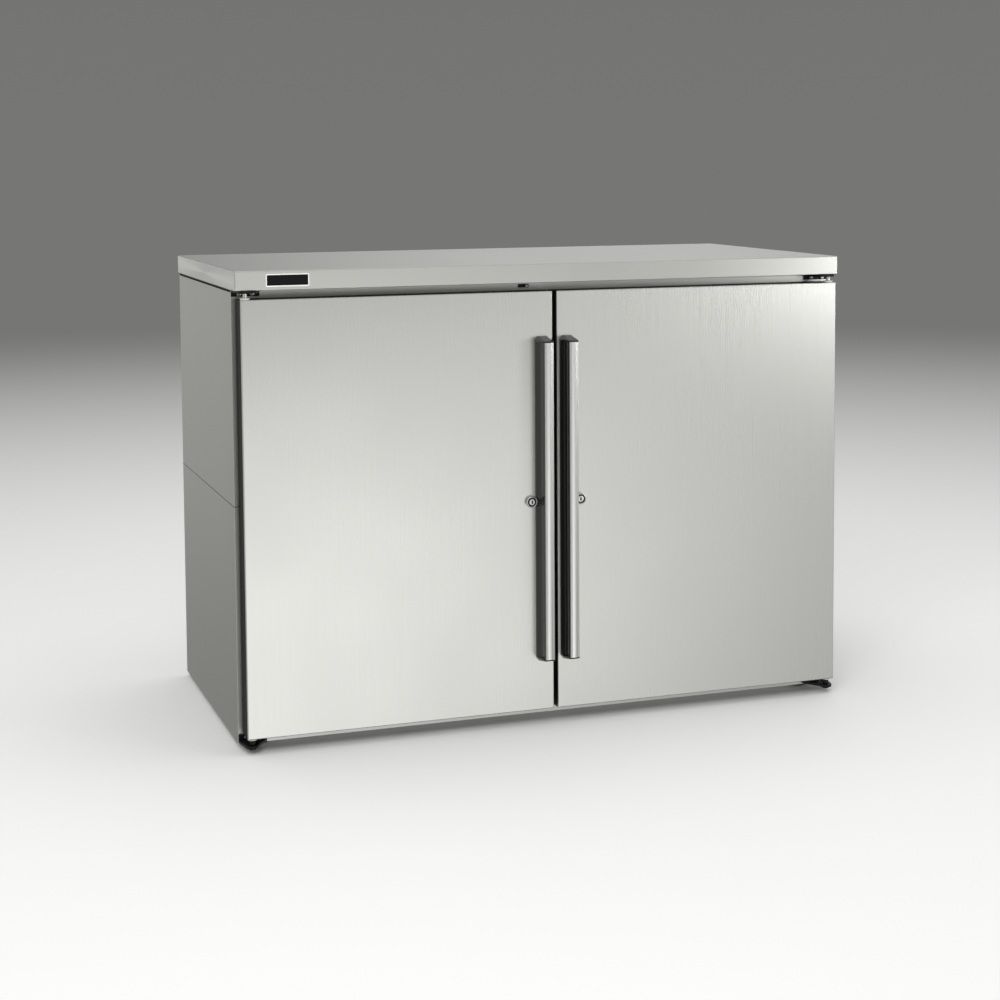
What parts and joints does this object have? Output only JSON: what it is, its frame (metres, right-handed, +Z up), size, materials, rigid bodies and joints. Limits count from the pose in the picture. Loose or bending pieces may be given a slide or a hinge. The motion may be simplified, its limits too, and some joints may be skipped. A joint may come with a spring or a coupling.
{
  "type": "back bar refrigerator",
  "caption": "Under-counter two-door bar cooler in stainless steel with black handles, locks, overhanging counter, wire shelves and a rear machine compartment.",
  "frame": {"origin": "middle of the floor area the whole refrigerator covers, handles included", "axes": "+X to the right seen from the front, +Y to the back, +Z up; the doors face -Y"},
  "size_m": [1.219, 0.66, 0.889],
  "materials": {
    "aluminium_blade": "pressed aluminium fan",
    "aluminium_fins": "thin aluminium fins on tube",
    "black_enamel": "black paint",
    "black_plastic": "moulded plastic",
    "black_rubber": "black rubber",
    "blank_plate": "bare black enamelled plate with a bright raised border",
    "board_core": "bare particle board",
    "bright_steel": "polished steel pin",
    "bush_plastic": "white nylon bush",
    "coated_wire": "epoxy coated steel wire",
    "copper_tube": "drawn copper tube",
    "door_edge_plastic": "extruded plastic edge",
    "door_liner_plastic": "vacuum formed liner",
    "fan_plastic": "moulded plastic fan",
    "gasket_rubber": "soft black magnetic seal",
    "grey_plastic": "smooth moulded plastic",
    "handle_metal": "bright brushed metal strip",
    "handle_plastic": "polished black plastic",
    "light_cover": "translucent light cover",
    "liner_sheet": "satin aluminium sheet",
    "lock_chrome": "satin chrome",
    "motor_casing": "painted motor casing",
    "rigid_foam": "rigid polyurethane foam",
    "stainless_counter": "fine lengthwise brushed stainless steel",
    "stainless_door": "brushed stainless steel sheet",
    "stainless_frame": "brushed stainless steel sheet",
    "stainless_side": "brushed stainless steel sheet",
    "white_plastic": "moulded plastic",
    "white_sheet": "white painted sheet",
    "zinc_coated_steel": "zinc coated sheet steel",
    "zinc_plated_steel": "zinc plated steel"
  },
  "bodies": {
    "root": {"counter_top": "stainless_counter", "counter_core": "board_core", "name_plate": "blank_plate", "left_upper_side_panel": "stainless_side", "left_lower_side_panel": "stainless_side", "right_upper_side_panel": "stainless_side", "right_lower_side_panel": "stainless_side", "top_panel": "stainless_frame", "bottom_sill": "stainless_frame", "centre_mullion": "stainless_frame", "breaker_strips": "grey_plastic", "back_panel": "zinc_coated_steel", "base_pan": "zinc_coated_steel", "insulation_slabs": "rigid_foam", "inner_liner": "liner_sheet", "shelf_supports": "zinc_plated_steel", "wire_shelves": "coated_wire", "evaporator_housing": "white_sheet", "evaporator_coil": "aluminium_fins", "condensate_drain": "black_plastic", "fan_motors": "motor_casing", "temperature_control": "white_plastic", "interior_light": "light_cover", "light_switch_body": "black_plastic", "compressor": "black_enamel", "compressor_mounts": "black_rubber", "condenser_coil": "aluminium_fins", "fan_shroud": "black_enamel", "refrigerant_lines": "copper_tube", "rear_grille": "zinc_coated_steel", "power_inlet": "black_plastic", "floor_glides": "black_plastic", "hinge_brackets": "black_enamel", "hinge_pins": "bright_steel", "cabinet_screws": "zinc_plated_steel"},
    "evaporator_fan": {"evaporator_fan": "fan_plastic"},
    "condenser_fan": {"condenser_fan": "aluminium_blade"},
    "temperature_knob": {"temperature_knob": "black_plastic"},
    "light_switch_slider": {"light_switch_slider": "white_plastic"},
    "left_door": {"left_door_skin": "stainless_door", "left_door_edge": "door_edge_plastic", "left_door_foam": "rigid_foam", "left_door_liner": "door_liner_plastic", "left_door_gasket": "gasket_rubber", "left_handle_grip": "handle_plastic", "left_handle_strip": "handle_metal", "left_lock_barrel": "lock_chrome", "left_hinge_bushes": "bush_plastic"},
    "left_lock": {"left_lock_plug": "lock_chrome"},
    "right_door": {"right_door_skin": "stainless_door", "right_door_edge": "door_edge_plastic", "right_door_foam": "rigid_foam", "right_door_liner": "door_liner_plastic", "right_door_gasket": "gasket_rubber", "right_handle_grip": "handle_plastic", "right_handle_strip": "handle_metal", "right_lock_barrel": "lock_chrome", "right_hinge_bushes": "bush_plastic"},
    "right_lock": {"right_lock_plug": "lock_chrome"}
  },
  "joints": [
    {"name": "left_door_hinge", "type": "hinge", "parent": "root", "child": "left_door", "pos_m": [-0.59, -0.277, 0.433], "axis": [0, 0, -1], "range_deg": [0, 110]},
    {"name": "right_door_hinge", "type": "hinge", "parent": "root", "child": "right_door", "pos_m": [0.59, -0.277, 0.433], "axis": [0, 0, 1], "range_deg": [0, 110]},
    {"name": "left_lock_turn", "type": "hinge", "parent": "left_door", "child": "left_lock", "pos_m": [-0.0495, -0.297, 0.436], "axis": [0, -1, 0], "range_deg": [0, 90]},
    {"name": "right_lock_turn", "type": "hinge", "parent": "right_door", "child": "right_lock", "pos_m": [0.0495, -0.297, 0.436], "axis": [0, 1, 0], "range_deg": [0, 90]},
    {"name": "evaporator_fan_spin", "type": "hinge", "parent": "root", "child": "evaporator_fan", "pos_m": [0, 0.179, 0.705], "axis": [0, -1, 0], "continuous": true},
    {"name": "condenser_fan_spin", "type": "hinge", "parent": "root", "child": "condenser_fan", "pos_m": [0.276, 0.2055, 0.1215], "axis": [1, 0, 0], "continuous": true},
    {"name": "temperature_knob_turn", "type": "hinge", "parent": "root", "child": "temperature_knob", "pos_m": [0.5305, -0.04, 0.735], "axis": [-1, 0, 0], "range_deg": [0, 270]},
    {"name": "light_switch_slide", "type": "slide", "parent": "root", "child": "light_switch_slider", "axis": [-1, 0, 0], "range_m": [0, 0.009]}
  ]
}
